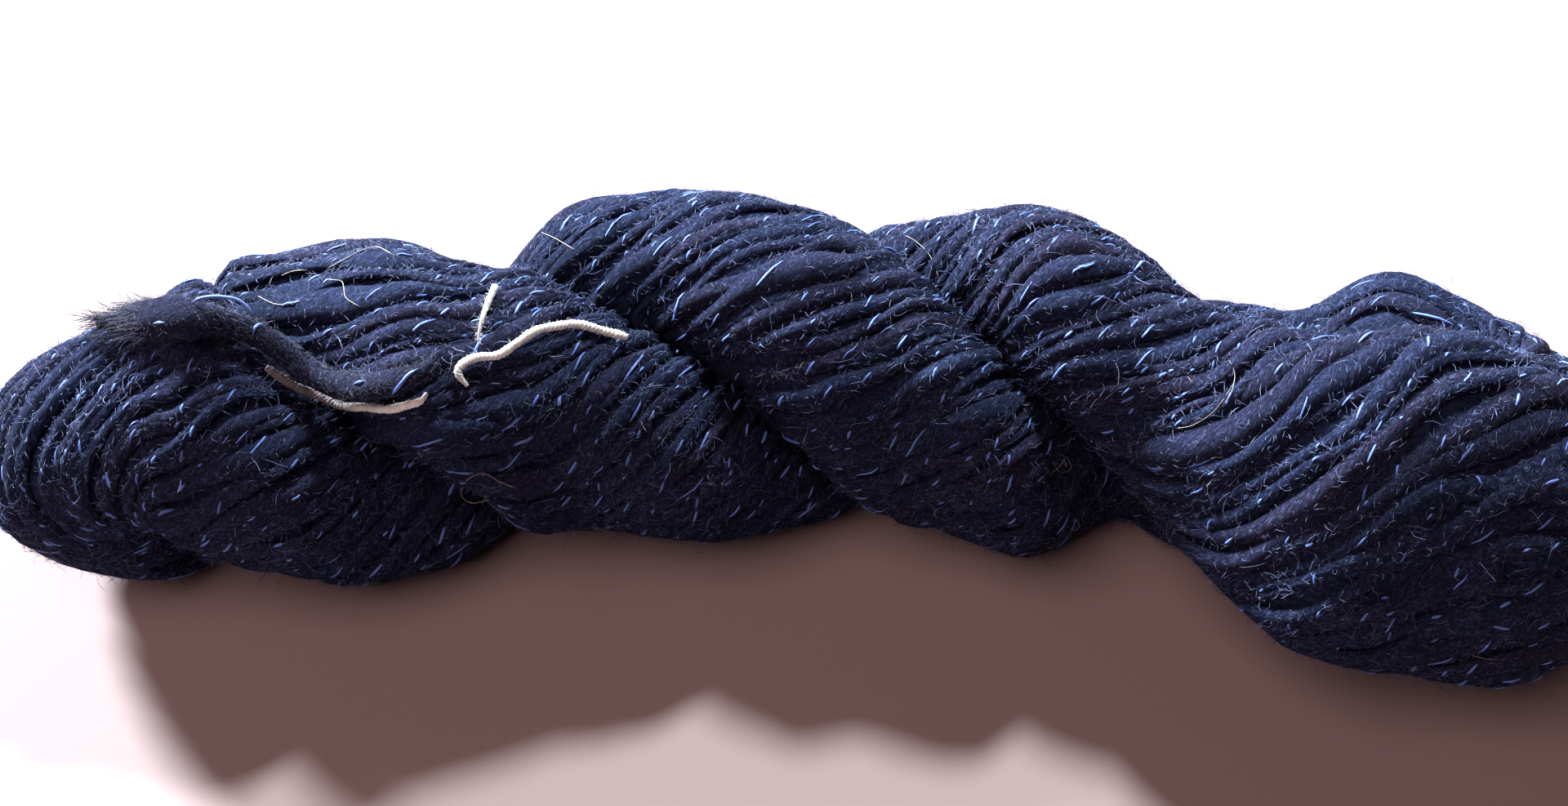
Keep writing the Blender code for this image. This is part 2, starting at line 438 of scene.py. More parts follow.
# As in the CAD: section by section along the skein, its middle line at (x, y, lift), the direction from
# it to the first ply's centre, how far away both centres are, and a ply's half sizes.
COLUMNS = ("x", "y", "lift", "turn", "reach", "deep", "wide")
SECTIONS = np.array(
    (
        (-195, -2.5, 29.5, -86, 12.5, 19.0, 29.0),
        (-167, -2.0, 31.0, -86, 12.0, 20.0, 26.0),
        (-145, 3.0, 30.0, -80, 13.5, 18.5, 28.0),
        (-136, 9.0, 32.5, -47, 15.5, 21.5, 31.5),
        (-127, 8.5, 32.5, -22, 15.0, 23.0, 30.0),
        (-105, 8.0, 33.0, 37, 16.5, 23.5, 26.0),
        (-72, 10.0, 36.0, 112, 17.0, 22.0, 29.0),
        (-55, 20.5, 33.0, 165, 16.5, 22.5, 31.0),
        (-28, 20.5, 34.5, 205, 16.5, 24.5, 27.5),
        (5, 21.0, 32.0, 280, 13.0, 25.5, 31.0),
        (22, 19.0, 34.0, 333, 12.0, 22.0, 31.0),
        (48, 16.0, 35.0, 393, 16.5, 24.0, 29.5),
        (74, 15.0, 34.0, 469, 16.0, 22.0, 27.5),
        (92, 0.0, 34.5, 492, 14.5, 23.5, 30.5),
        (104, -9.0, 35.0, 494, 17.5, 24.0, 35.0),
        (116, -13.0, 36.0, 497, 20.5, 24.0, 36.0),
        (134, -11.0, 37.0, 506, 20.0, 25.0, 40.0),
        (152, -16.0, 35.5, 503, 18.0, 24.0, 38.5),
        (200, -17.0, 26.0, 508, 19.0, 21.0, 24.0),
    ),
    float,
)
NOSE_LEFT, NOSE_RIGHT = -191.0, 191.0
FOLD_LEFT, FOLD_RIGHT = -141.0, 147.0  # where the plies begin to turn round the two ends
TIED_AT, TIED_WIDTH, TIED_SHARE = -73.0, 11.0, 0.14  # the tie draws this share of a ply in
SETTLED = 3.0  # the bend where the skein's round sides meet its pressed underside
BETWEEN_PLIES = 2.4  # from the plane where the plies press on each other to the nearest strand's middle
SEAM_BEND = 2.0  # the bend where a ply's round side meets that plane

SLOPES = {name: np.gradient(SECTIONS[:, k], SECTIONS[:, 0]) for k, name in enumerate(COLUMNS)}


def section(x):
    """The table's values at any x, on a smooth curve through its rows."""
    places = SECTIONS[:, 0]
    i = np.clip(np.searchsorted(places, x, side="right") - 1, 0, len(places) - 2)
    step = places[i + 1] - places[i]
    t = (x - places[i]) / step
    found = {}
    for k, name in enumerate(COLUMNS):
        values, slope = SECTIONS[:, k], SLOPES[name]
        found[name] = (
            (1 + 2 * t) * (1 - t) ** 2 * values[i]
            + t * (1 - t) ** 2 * step * slope[i]
            + t * t * (3 - 2 * t) * values[i + 1]
            + t * t * (t - 1) * step * slope[i + 1]
        )
    return found


def eased(height, room=SETTLED):
    """A height that is kept above nought, with a soft bend over the room round nought."""
    return np.where(height > room, height, np.maximum(0.0, height + room) ** 2 / (4 * room))


LEFT_END, RIGHT_END = section(np.array(NOSE_LEFT)), section(np.array(NOSE_RIGHT))
STRETCH_LEFT = (FOLD_LEFT - NOSE_LEFT) / float(LEFT_END["reach"] + LEFT_END["deep"])
STRETCH_RIGHT = (NOSE_RIGHT - FOLD_RIGHT) / float(RIGHT_END["reach"] + RIGHT_END["deep"])
STRAIGHT = FOLD_RIGHT - FOLD_LEFT
ROUND_LEFT, ROUND_RIGHT = 23.0, 38.0  # radius at which a strand's travel round each end is counted
LOOP = 2 * STRAIGHT + math.pi * (ROUND_LEFT + ROUND_RIGHT)


def ply_place(travel, around, inset, floor_gap, apart=BETWEEN_PLIES):
    """Points under the plies' surface, and the way out of it.

    travel is the distance gone round the whole hank: along the first ply to the left, round the fold,
    along the second ply to the right and round the loop. around is the way gone round the ply's oval as
    an angle, from straight away from the other ply. inset is the depth under the surface, floor_gap the
    least height above the table, and apart the least distance from the seam between the plies. Also gives
    how deep a point lies in that seam.
    """
    t = np.mod(travel, LOOP)
    left_turn = np.clip((t - STRAIGHT) / ROUND_LEFT, 0, math.pi)
    gone = t - STRAIGHT - math.pi * ROUND_LEFT
    right_turn = np.clip((gone - STRAIGHT) / ROUND_RIGHT, 0, math.pi)
    start = np.where(t < STRAIGHT, FOLD_RIGHT - t, FOLD_LEFT + np.clip(gone, 0, STRAIGHT))
    side = np.cos(left_turn + right_turn)
    outward = np.sin(left_turn) - np.sin(right_turn)
    stretch = np.where(outward > 0, STRETCH_LEFT, STRETCH_RIGHT) * outward
    x = start
    for _ in range(3):
        s = section(x)
        x = start - (s["reach"] + s["deep"] * np.cos(around)) * stretch
    s = section(x)
    deep, wide = s["deep"] ** 2, s["wide"] ** 2
    around = around - (wide - deep) / (4 * (wide + deep)) * np.sin(2 * around)
    along_n, along_m = s["wide"] * np.cos(around), s["deep"] * np.sin(around)
    size = np.hypot(along_n, along_m)
    along_n, along_m = along_n / size, along_m / size
    away = s["reach"] + s["deep"] * np.cos(around) - inset * along_n
    across = s["wide"] * np.sin(around) - inset * along_m
    buried = apart - away
    away = apart + eased(away - apart, SEAM_BEND)
    share = np.maximum(0, away * side) / np.hypot(away * side, across)
    drawn = 1 - TIED_SHARE * np.exp(-(((x - TIED_AT) / TIED_WIDTH) ** 2)) * np.sqrt(share)
    away, across = away * np.where(outward == 0, drawn, 1), across * np.where(outward == 0, drawn, 1)
    turn = np.radians(s["turn"])
    cos, sin = np.cos(turn), np.sin(turn)
    x = start - away * stretch
    y = s["y"] + away * side * cos - across * sin
    z = s["lift"] + away * side * sin + across * cos
    z = floor_gap + eased(z - floor_gap)
    out = np.stack(
        [-outward * along_n, side * cos * along_n - sin * along_m, side * sin * along_n + cos * along_m],
        -1,
    )
    return np.stack([x, y, z], -1), unit(out), buried


# ---------------------------------------------------------------- the strand

STRANDS = 43  # side by side round a ply; a prime number, so that they are all one strand
ONWARD = 17  # places that a strand has moved on by when it comes round the hank again
TURNS = 6  # whole turns it makes about the ply's middle on the way, besides
RING_STEP = 2.9
THICKNESS = 4.0
THICKNESS_SPREAD, SLUB_KNOTS = 0.40, 19.0  # how much the thickness changes, and over what length
UNEVENNESS, UNEVEN_KNOTS = 0.06, 4.0  # the same for the spinning's fine changes
THINNEST, THICKEST = 2.0, 9.5
RISE_AND_FALL, RISE_KNOTS = 0.55, 21.0  # how far a strand rises and sinks, and over what length
SWAY, SWAY_KNOTS = 0.010, 17.0  # how far it wanders round the ply, in turns, and over what length
PUSH = 2.3  # places over which a thick strand pushes its neighbours aside
OVERLAP = 1.32  # how much wider a strand is than the place it has, because it is soft
NARROWEST, WIDEST = 0.75, 2.2  # how far it is squeezed, as a share of its round half size
FLATTEST, HIGHEST = 0.8, 1.15
STANDS_OUT = 0.45  # share of a thick strand's extra half height that stands out of the ply
CROWN_SPREAD = 0.05  # how much wider apart strands lie on the ply's outer side
SIDES = 11
RING_ANGLES = np.radians((-22, 4, 28, 50, 70, 90, 110, 130, 152, 176, 230))
FIBRE_TURN = 0.16  # how far round the strand the wool's fibres go in a millimetre

# How fast the strands wind round the ply, in turns a metre, at places along the skein.
WINDING = (
    ("first ply", 148, 1.4),
    ("first ply", 110, 5.9),
    ("first ply", 60, 15.0),
    ("first ply", 0, 11.1),
    ("first ply", -60, 12.0),
    ("first ply", -110, 7.4),
    ("first ply", -143, 3.7),
    ("left fold", 0, 10.5),
    ("second ply", -143, 13.5),
    ("second ply", -110, 14.0),
    ("second ply", -60, 6.4),
    ("second ply", 0, 12.3),
    ("second ply", 60, 13.8),
    ("second ply", 110, 3.7),
    ("second ply", 148, -3.0),
    ("right loop", 0, -1.5),
)
WINDING_EASE = 20  # hundredths of the loop and more over which the change from row to row is smoothed

# The thickest slubs: the pixel of the picture where each one's middle shows, its half length and growth.
# A ring is at that pixel if it is this many pixels from it, and in front if it is this near the nearest.
SLUBS = (
    ((955, 345), 32.0, 1.3),
    ((765, 455), 24.0, 0.8),
    ((1465, 540), 22.0, 1.1),
    ((1620, 470), 24.0, 0.7),
)
AT_PIXEL, IN_FRONT = 14, 10

STATIONS = round(LOOP / RING_STEP)
YARN_LENGTH = STRANDS * LOOP
VISITED = (np.arange(STRANDS) * ONWARD) % STRANDS  # which place the strand is in, time after time
TIMES = np.argsort(VISITED)  # the time at which each place round the ply is visited


def travel_to(part, x):
    """How far round the hank a part of it is, at a place along the skein."""
    return {
        "first ply": FOLD_RIGHT - x,
        "left fold": STRAIGHT + math.pi * ROUND_LEFT / 2,
        "second ply": STRAIGHT + math.pi * ROUND_LEFT + x - FOLD_LEFT,
        "right loop": LOOP - math.pi * ROUND_RIGHT / 2,
    }[part]


def winding_at(travel):
    """How far the strands have wound round the ply, in radians, after some travel round the hank."""
    steps = 720
    knots = sorted((travel_to(part, x), turns) for part, x, turns in WINDING)
    places, turns = np.array(knots).T
    even = np.arange(steps) * LOOP / steps
    rate = np.interp(even, places, turns, period=LOOP)
    window = np.hanning(2 * WINDING_EASE + 1)
    rate = np.convolve(np.pad(rate, WINDING_EASE, "wrap"), window / window.sum(), "valid")
    gone = np.concatenate([[0], np.cumsum(rate)])
    gone *= 2 * math.pi * (TURNS + ONWARD / STRANDS) / gone[-1]
    return np.interp(travel, np.append(even, LOOP), gone)


def yarn_noise(gap, places):
    """A seeded smooth curve along the whole yarn, with knots at about a gap."""
    count = round(YARN_LENGTH / gap)
    return wave(rng.normal(size=count), places / YARN_LENGTH * count)


def only_nearby(values):
    """What is left of values round the ply when their slow change from place to place is taken out."""
    apart = np.arange(STRANDS)
    apart = np.minimum(apart, STRANDS - apart)
    weight = np.exp(-((apart / PUSH) ** 2) / 2)
    weight /= weight.sum()
    across = np.array([np.roll(weight, k) for k in range(STRANDS)])
    return values - across @ values


def add_slubs(thick, length, centres):
    """Makes the strand thick where the big slubs show."""
    across, down, depth = pixels_of(centres)
    for (u, v), half_length, growth in SLUBS:
        off = np.hypot(across - u, down - v)
        near = np.where(off < AT_PIXEL, depth, np.inf)
        near = np.where(near < near.min() + IN_FRONT, off, np.inf)
        at = length.ravel()[np.argmin(near)]
        thick *= 1 + growth * np.exp(-(((length - at) / half_length) ** 2))
    return thick


def wound_strand():
    """Every ring of the strand round the hank, in the order that it is wound."""
    travel = np.arange(STATIONS) * LOOP / STATIONS
    wound_on = winding_at(travel)
    length = TIMES[:, None] * LOOP + travel[None, :]  # [place, station]
    stations = np.broadcast_to(travel, length.shape)
    nothing = np.zeros(length.shape)
    mean = nothing + THICKNESS / 2

    def angle(share):
        plain = 2 * math.pi * share + wound_on
        return plain + CROWN_SPREAD * np.sin(plain)

    even = np.arange(STRANDS + 1)[:, None] / STRANDS
    middle = angle(even[:-1] + 0.5 / STRANDS)
    centre, _, _ = ply_place(stations, middle, mean, mean)
    thick = THICKNESS * np.exp(THICKNESS_SPREAD * yarn_noise(SLUB_KNOTS, length))
    thick = add_slubs(thick, length, centre)
    thick = np.clip(thick * (1 + UNEVENNESS * yarn_noise(UNEVEN_KNOTS, length)), THINNEST, THICKEST)
    depth = RISE_AND_FALL * yarn_noise(RISE_KNOTS, length)
    sway = SWAY * yarn_noise(SWAY_KNOTS, length)
    start = (np.cumsum(thick, 0) - thick) / thick.sum(0) - even[:-1]
    start = only_nearby(start) + even[:-1]
    end = np.roll(start, -1, 0)
    end[-1] += 1
    middle, low, high = angle((start + end) / 2 + sway), angle(start), angle(end)
    edge_low, _, _ = ply_place(stations, low, mean, nothing)
    edge_high, _, _ = ply_place(stations, high, mean, nothing)
    centre, _, _ = ply_place(stations, middle, mean, mean)
    flow = unit(along_the_yarn(centre))
    span = edge_high - edge_low
    width = np.sqrt(np.maximum(1e-6, (span**2).sum(-1) - (span * flow).sum(-1) ** 2))
    half = np.sqrt(thick / 2 * np.clip(width / 2, 0.3 * thick, 1.2 * thick))
    half_wide = np.clip(width / 2 * OVERLAP, NARROWEST * half, WIDEST * half)
    half_high = np.clip(HIGHEST * half**2 / half_wide, FLATTEST * half, HIGHEST * half)
    inset = half_high - STANDS_OUT * (half_high - THICKNESS / 2) + depth
    centre, out, buried = ply_place(stations, middle, inset, half_high)
    flow = unit(along_the_yarn(centre))
    side = unit(np.cross(flow, out))
    out = np.cross(side, flow)
    wound = dict(centre=centre, flow=flow, side=side, out=out, buried=buried)
    wound.update(wide=half_wide, high=half_high, length=length, thick=thick)
    return {name: values[VISITED].reshape(-1, *values.shape[2:]) for name, values in wound.items()}


def along_the_yarn(points):
    """The change between neighbouring rings, also where a strand comes round to its next place."""
    flat = points[VISITED].reshape(-1, 3)
    change = np.roll(flat, -1, 0) - np.roll(flat, 1, 0)
    return change.reshape(STRANDS, STATIONS, 3)[TIMES]


def on_strand(wound, ring, angle, proud=0.0):
    """Points on the strand's surface at whole or part rings, and the way out of it there."""
    count = len(wound["centre"])
    whole = np.floor(ring).astype(int)
    part = (ring - whole)[..., None]
    here, after = whole % count, (whole + 1) % count

    def at(name):
        values = wound[name]
        share = part if values.ndim == 2 else part[..., 0]
        return values[here] * (1 - share) + values[after] * share

    cos, sin = np.cos(angle), np.sin(angle)
    side, out = unit(at("side")), unit(at("out"))
    wide, high = at("wide"), at("high")
    point = at("centre") + side * ((wide + proud) * cos)[..., None] + out * ((high + proud) * sin)[..., None]
    way = unit(side * (cos / wide)[..., None] + out * (sin / high)[..., None])
    return point, way


HIDDEN_DEPTH = 3.0  # a strand pressed this far into the seam between the plies isn't made
YARN_PIECES = 2
CREASE_SHADE_WITHIN = 15.0  # from the seam, the stretch over which the wool gets painted shade, as in a crease
CREASE_SHADE_FALL = 1.3  # how soon that painted shade fades
PLUM_SHARE, PLUM_SPREAD, PLUM_KNOTS = 0.35, 0.40, 120.0  # plum in the navy, and the length of a stretch


def crease_shade_at(strand):
    """How much painted crease shade each ring gets: fully at the seam, none far from it."""
    return np.clip(1 + strand["buried"] / CREASE_SHADE_WITHIN, 0, 1) ** CREASE_SHADE_FALL


def make_strands(wound, finish):
    """The strand's tubes, in a few pieces, each the strand's next stretch of turns."""
    rings = len(wound["centre"])
    shown = wound["buried"] < HIDDEN_DEPTH
    joined = shown & np.roll(shown, -1)
    ring = np.arange(rings)
    angle = np.broadcast_to(RING_ANGLES, (rings, SIDES))
    points, _ = on_strand(wound, np.repeat(ring[:, None], SIDES, 1), angle)
    points[..., 2] = np.maximum(points[..., 2], ABOVE_TABLE)
    swirl = angle - FIBRE_TURN * wound["length"][:, None]
    lay = np.stack(
        [
            np.broadcast_to(wound["length"][:, None], swirl.shape),
            wound["wide"][:, None] * np.cos(swirl),
            wound["high"][:, None] * np.sin(swirl),
        ],
        -1,
    )
    tone = np.clip(PLUM_SHARE + PLUM_SPREAD * yarn_noise(PLUM_KNOTS, wound["length"]), 0, 1)
    tone = np.repeat(tone[:, None], SIDES, 1)
    # Painted shade towards the seam between the plies.
    pressed = np.repeat(crease_shade_at(wound)[:, None], SIDES, 1)
    breaks = np.nonzero(~joined)[0] + 1
    even = [rings * k // YARN_PIECES for k in range(1, YARN_PIECES)]
    ends = [0, *(int(breaks[np.argmin(np.abs(breaks - e))]) for e in even), int(breaks[-1])]
    made = []
    for k, (begin, end) in enumerate(zip(ends, ends[1:])):
        faces = tube_faces(end - begin, SIDES, joined[begin:end])
        used = np.unique(np.concatenate([f.ravel() for f in faces]))
        renumber = np.zeros((end - begin) * SIDES, int)
        renumber[used] = np.arange(len(used))
        made.append(
            new_piece(
                f"wound_yarn_{k + 1}",
                points[begin:end].reshape(-1, 3)[used],
                [renumber[f] for f in faces],
                finish,
                lay[begin:end].reshape(-1, 3)[used],
                tone[begin:end].reshape(-1)[used],
                pressed[begin:end].reshape(-1)[used],
            )
        )
    return made


CORE_STEP, CORE_SIDES = 5.0, 40
CORE_INSET, CORE_ABOVE_TABLE = 2.2, 1.5  # below the form's surface, and above the table
CORE_OVERLAP = 1.0  # by which the two plies' cores run into each other, so that no light comes through


def make_core(finish):
    """The strands underneath, as one closed ply just below the outer ones."""
    rings = round(LOOP / CORE_STEP)
    turn = np.arange(CORE_SIDES) * 2 * math.pi / CORE_SIDES
    travel, around = np.meshgrid(np.arange(rings) * LOOP / rings, turn, indexing="ij")
    even = np.ones(travel.shape)
    points, _, _ = ply_place(travel, around, CORE_INSET * even, CORE_ABOVE_TABLE * even, -CORE_OVERLAP)
    faces = tube_faces(rings, CORE_SIDES, np.ones(rings, bool))
    return new_piece("yarn_inside", points.reshape(-1, 3), faces, finish)


# ---------------------------------------------------------------- thread

# The thread comes up as dashes. A spread is that of a seeded draw about the value before it.
THREAD_RADIUS = 0.29
THREAD_WIDE, THREAD_HIGH = 1.15, 0.85  # it is a little flat
DASH_SIDES, DASH_RINGS = 4, 6
DASH_PITCH, PITCH_EACH_THICK, PITCH_SPREAD = 5.5, 2.1, 0.28  # from dash to dash, more on a thick strand
DASH_EACH_THICK, DASH_SPREAD = 0.85, 0.42  # a dash's length for the strand's thickness
DASH_SHORTEST, DASH_LONGEST = 1.4, 12.0
CROWN, CROWN_STRAY = math.pi / 2, 0.45  # a dash is near the strand's outermost line
LEAN, LEAN_SPREAD = 21, 7  # degrees from the strand's own way
DASH_CURL = 0.12
DASH_PROUD, DASH_PROUD_SPREAD = 0.08, 0.10  # of its middle over the wool
DASH_SINKS = 0.50  # how much lower its ends are


def ring_gaps(strand):
    """The distance from each ring to the next, kept above a little."""
    return np.maximum(np.linalg.norm(np.roll(strand["centre"], -1, 0) - strand["centre"], axis=1), 1.0)


def thread_dashes(wound, finish):
    """The thread wherever it comes up on the outside of a strand, from under the wool and back."""
    rings = len(wound["centre"])
    gaps = ring_gaps(wound)
    starts, place = [], 3.0
    while place < rings - 6:
        starts.append(place)
        thick = wound["thick"][int(place)]
        pitch = (DASH_PITCH + PITCH_EACH_THICK * thick) * math.exp(PITCH_SPREAD * rng.normal())
        place += pitch / gaps[int(place)]
    starts = np.array(starts)
    whole = starts.astype(int)
    facing = wound["buried"][whole] < 0.5  # not inside the seam
    starts, whole = starts[facing], whole[facing]
    count = len(starts)
    thick, high = wound["thick"][whole], wound["high"][whole]
    long = DASH_EACH_THICK * thick * np.exp(DASH_SPREAD * rng.normal(size=count))
    long = np.clip(long, DASH_SHORTEST, DASH_LONGEST)
    crown = CROWN + CROWN_STRAY * rng.normal(size=count)
    lean = np.radians(LEAN + LEAN_SPREAD * rng.normal(size=count))
    t = np.linspace(-1, 1, DASH_RINGS)
    along = long[:, None] / 2 * t
    ring = starts[:, None] + along / gaps[whole][:, None]
    curl = DASH_CURL * rng.normal(size=(count, 1)) * np.sin(2.5 * t)
    angle = crown[:, None] + along * np.tan(lean)[:, None] / high[:, None] + curl
    proud = DASH_PROUD - DASH_SINKS * np.abs(t) ** 3 + DASH_PROUD_SPREAD * rng.normal(size=(count, 1))
    middle, out = on_strand(wound, ring, angle, np.broadcast_to(proud, ring.shape))
    flow = unit(np.gradient(middle, axis=1))
    side = unit(np.cross(flow, out))
    out = np.cross(side, flow)
    turn = np.arange(DASH_SIDES) * 2 * math.pi / DASH_SIDES
    radius = THREAD_RADIUS * np.maximum(0.05, 1 - t**2) ** 0.8
    radius = radius[None, :, None, None] * (0.7 + 0.55 * rng.random((count, 1, 1, 1)))
    points = middle[:, :, None] + radius * (
        np.cos(turn)[:, None] * side[:, :, None] * THREAD_WIDE
        + np.sin(turn)[:, None] * out[:, :, None] * THREAD_HIGH
    )
    points[..., 2] = np.maximum(points[..., 2], ABOVE_TABLE)
    lay = np.stack(
        np.broadcast_arrays(
            (starts[:, None] * 3 + along)[:, :, None], np.cos(turn) * 0.3, np.sin(turn) * 0.3
        ),
        -1,
    )
    joined = np.tile(np.arange(DASH_RINGS) < DASH_RINGS - 1, count)
    faces = tube_faces(len(joined), DASH_SIDES, joined)
    tone = np.repeat(rng.random(count), DASH_RINGS * DASH_SIDES)
    return new_piece("shiny_thread", points.reshape(-1, 3), faces, finish, lay.reshape(-1, 3), tone)


# ---------------------------------------------------------------- fibres

FUZZ_RADIUS = 0.050
FUZZ_STRAY = 1.1  # how far fibres turn from the strand's own way
FUZZ_LIFT_LEAST = 0.35  # share of its lift that every fibre has
FUZZ_DROOP, FUZZ_HEIGHT = 1.6, 0.2  # how fast a fibre curls back, once it is this far from the wool
FUZZ_BEND = 0.8


def needles(name, groups, finish):
    """Fine fibres, each pointed at both ends, as one piece. A group is the paths, radii and tones of
    fibres that have one count of joints."""
    k, k_after = np.arange(3), (np.arange(3) + 1) % 3
    points, tones, triangles, squares = [], [], [], []
    first = 0
    for paths, radius, tone in groups:
        count, joints = paths.shape[:2]
        flow = unit(np.gradient(paths, axis=1))
        side = unit(np.cross(flow, np.array((0.31, 0.52, 0.79))))
        up = np.cross(side, flow)
        turn = k * 2 * math.pi / 3
        inner = slice(1, joints - 1)
        around = np.cos(turn)[:, None] * side[:, inner, None] + np.sin(turn)[:, None] * up[:, inner, None]
        rings = (paths[:, inner, None] + radius[:, None, None, None] * around).reshape(count, -1, 3)
        fibres = np.concatenate([paths[:, :1], rings, paths[:, -1:]], 1)
        each = fibres.shape[1]
        last = each - 1
        base = first + np.arange(count)[:, None, None] * each
        tips = (
            np.stack([0 * k, 1 + k_after, 1 + k], -1),
            np.stack([last + 0 * k, last - 3 + k, last - 3 + k_after], -1),
        )
        triangles.append((base + np.concatenate(tips)).reshape(-1, 3))
        for j in range(joints - 3):
            wall = np.stack([1 + k, 1 + k_after, 4 + k_after, 4 + k], -1) + 3 * j
            squares.append((base + wall).reshape(-1, 4))
        points.append(fibres.reshape(-1, 3))
        tones.append(np.repeat(tone, each))
        first += count * each
    points = np.concatenate(points)
    points[:, 2] = np.maximum(points[:, 2], ABOVE_TABLE)
    return new_piece(name, points, triangles + squares, finish, None, np.concatenate(tones))


def fuzz(strand, count, joints, shortest, longest, lift, spread):
    """A group of fibres that stand off a strand, up to an angle spread from its outermost line, and curl
    back. Towards the seam between the plies they are painted darker, as shade in the crease."""
    open_rings = np.nonzero(strand["buried"] < 0.8)[0]  # out of the seam
    chance = ring_gaps(strand)[open_rings]
    ring = rng.choice(open_rings, count, p=chance / chance.sum()) + rng.random(count)
    angle = math.pi / 2 + spread * (rng.random(count) * 2 - 1)
    root, out = on_strand(strand, ring, angle, np.full(count, -0.12))
    flow = strand["flow"][ring.astype(int)] * rng.choice((-1, 1), count)[:, None]
    side = unit(np.cross(out, flow))
    size = shortest + (longest - shortest) * rng.random(count) ** 1.6
    way = unit(
        flow
        + side * (FUZZ_STRAY * rng.normal(size=count))[:, None]
        + out * (lift * (FUZZ_LIFT_LEAST + np.abs(rng.normal(size=count))))[:, None]
    )
    paths = [root]
    step = (size / (joints - 1))[:, None]
    bend = rng.normal(size=(count, 3)) * (1.0 / (joints - 1)) ** 0.5
    for _ in range(joints - 1):
        paths.append(paths[-1] + way * step)
        away = ((paths[-1] - root) * out).sum(-1, keepdims=True)
        over = np.maximum(0, away - FUZZ_HEIGHT)
        way = unit(way + bend * FUZZ_BEND - out * over * (FUZZ_DROOP / (joints - 1)))
        bend = bend + rng.normal(size=(count, 3)) * 0.35 / (joints - 1) ** 0.5
    radius = FUZZ_RADIUS * (0.7 + 0.6 * rng.random(count))
    # Painted shade: fibres near the seam between the plies are darker.
    tone = rng.random(count) * (1 - 0.85 * crease_shade_at(strand)[ring.astype(int)])
    return np.stack(paths, 1), radius, tone


# ---------------------------------------------------------------- cords

# Each cord's route, as in the CAD, from where it leaves the wound yarn.
ROUTES = {
    "loose_end": (
        (-80.5, -7.0, 72.5), (-84.0, -9.0, 72.0), (-88.5, -10.0, 70.5), (-96.0, -8.5, 65.5),
        (-104.5, -4.5, 61.5), (-111.5, 0.0, 61.5), (-117.5, 3.5, 65.0), (-123.0, 5.0, 68.5),
        (-129.0, 4.5, 72.5), (-136.0, 4.0, 74.0), (-144.5, 8.0, 69.0), (-152.5, 11.0, 64.0),
        (-158.5, 11.5, 62.5),
    ),
    "tie_end_right": (
        (-74.0, -8.5, 66.5), (-76.0, -6.5, 68.5), (-75.0, -4.5, 69.5), (-72.0, -2.5, 69.0),
        (-67.5, -1.5, 68.5), (-63.5, 1.0, 69.5), (-59.5, 4.0, 70.0), (-54.5, 6.5, 68.5),
        (-50.5, 8.0, 67.0), (-45.5, 8.5, 64.0), (-40.0, 8.5, 61.5),
    ),
    "tie_end_left": (
        (-82.5, -11.0, 67.5), (-84.0, -12.5, 66.5), (-87.0, -12.5, 65.0), (-91.5, -11.5, 62.0),
        (-97.0, -8.5, 58.5), (-102.5, -5.5, 54.5), (-106.0, -3.5, 53.5), (-110.0, -2.0, 54.5),
        (-114.5, -2.5, 59.0), (-119.5, -0.5, 62.5),
    ),
    "tie_band": (
        (-69.0, 15.5, 71.0), (-70.5, 10.5, 71.0), (-71.5, 5.5, 71.0), (-72.0, 1.0, 70.0),
    ),
}


def smooth_path(points, step):
    """Points about a step apart on the smooth curve through given points, and how far along each is."""
    points = np.asarray(points, float)
    before = np.vstack([2 * points[0] - points[1], points[:-1]])
    after = np.vstack([points[1:], 2 * points[-1] - points[-2]])
    after_that = np.vstack([points[2:], 2 * points[-1] - points[-2], points[-1]])
    t = np.linspace(0, 1, 30, endpoint=False)[:, None]
    fine = [
        q + t * (r - p) / 2 + t**2 * (2 * p - 5 * q + 4 * r - s) / 2 + t**3 * (3 * q - p - 3 * r + s) / 2
        for p, q, r, s in zip(before[:-1], points[:-1], after[:-1], after_that[:-1])
    ]
    fine = np.vstack([*fine, points[-1:]])
    gone = np.concatenate([[0], np.cumsum(np.linalg.norm(np.diff(fine, axis=0), axis=1))])
    count = max(2, round(gone[-1] / step))
    wanted = np.linspace(0, gone[-1], count + 1)
    return np.stack([np.interp(wanted, gone, fine[:, k]) for k in range(3)], 1), wanted


def carried_frame(path, up=(0.0, 0.0, 1.0)):
    """Each point's way along the path, the way across it and the way up from it."""
    flow = unit(np.gradient(path, axis=0))
    side = unit(np.cross(flow, np.array(up)))
    return flow, side, np.cross(side, flow)


def string(name, finish, radius_at, tone_at, twist, lobes, lobe_depth, step, sides):
    """A spun string along a route: a tube whose section has a lobe for each strand in it. Gives the piece,
    its path and length, and its rings."""
    path, gone = smooth_path(ROUTES[name], step)
    flow, side, up = carried_frame(path)
    turn = np.arange(sides) * 2 * math.pi / sides
    phase = turn[None, :] - twist * gone[:, None]
    lobed = 1 + lobe_depth * (np.abs(np.sin(phase * lobes / 2)) - 0.6)
    plain_radius = radius_at(gone, gone[-1])
    radius = plain_radius[:, None] * lobed
    around = np.cos(turn)[None, :, None] * side[:, None] + np.sin(turn)[None, :, None] * up[:, None]
    points = path[:, None] + radius[..., None] * around
    lay = np.stack(
        np.broadcast_arrays(gone[:, None], np.cos(phase) * radius, np.sin(phase) * radius), -1
    )
    joined = np.arange(len(path)) < len(path) - 1
    faces = tube_faces(len(path), sides, joined)
    tone = np.repeat(tone_at(gone, gone[-1]), sides)
    piece = new_piece(name + "_string", points.reshape(-1, 3), faces, finish, lay.reshape(-1, 3), tone)
    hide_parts(name)
    buried = np.where(joined, -99.0, 9.0)  # open all along; no fibre starts at the last ring
    rings = dict(centre=path, flow=flow, side=side, out=up, buried=buried)
    rings.update(wide=plain_radius, high=plain_radius)
    return piece, path, gone[-1], rings


